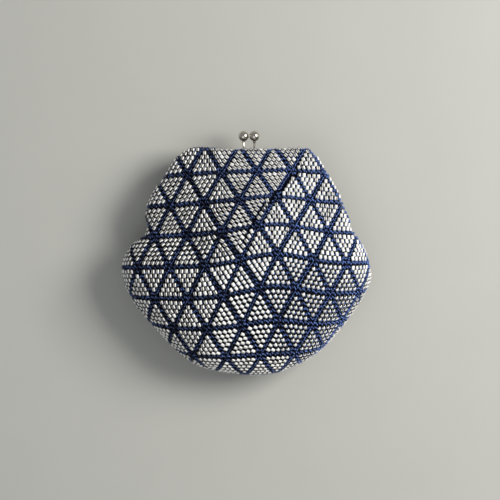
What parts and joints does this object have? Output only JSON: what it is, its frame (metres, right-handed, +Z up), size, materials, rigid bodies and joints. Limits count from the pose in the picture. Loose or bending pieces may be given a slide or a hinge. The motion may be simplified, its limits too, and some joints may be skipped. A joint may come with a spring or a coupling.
{
  "type": "kiss-lock coin purse",
  "caption": "Bead-crochet coin purse on a hinged metal arch frame, closed by two ball clasps, lying shut on its back.",
  "frame": {"origin": "on the surface the purse lies on, under the middle of its box", "axes": "+X along the hinge line to the right, +Y towards the clasp, +Z up, out of the front of the purse"},
  "size_m": [0.1188, 0.1164, 0.0389],
  "materials": {
    "frame_nickel": "bright nickel plate over pressed steel",
    "ball_nickel": "polished nickel plate",
    "rivet_steel": "plain, as headed",
    "bead_crochet": "silver-lined cylinder beads in triangles on navy mercerised cotton crochet",
    "lining_cotton": "plain woven cotton"
  },
  "bodies": {
    "rear_half": {"rear_frame": "frame_nickel", "rear_clasp_ball": "ball_nickel", "hinge_rivet_left": "rivet_steel", "hinge_rivet_right": "rivet_steel", "crochet_bag": "bead_crochet", "lining": "lining_cotton"},
    "front_half": {"front_frame": "frame_nickel", "front_clasp_ball": "ball_nickel"}
  },
  "joints": [
    {"name": "front_frame_hinge", "type": "hinge", "parent": "rear_half", "child": "front_half", "pos_m": [0.00106, 0.00825, 0.016], "axis": [1, 0, 0], "range_deg": [0, 75], "deforming": ["crochet_bag", "lining"]}
  ]
}
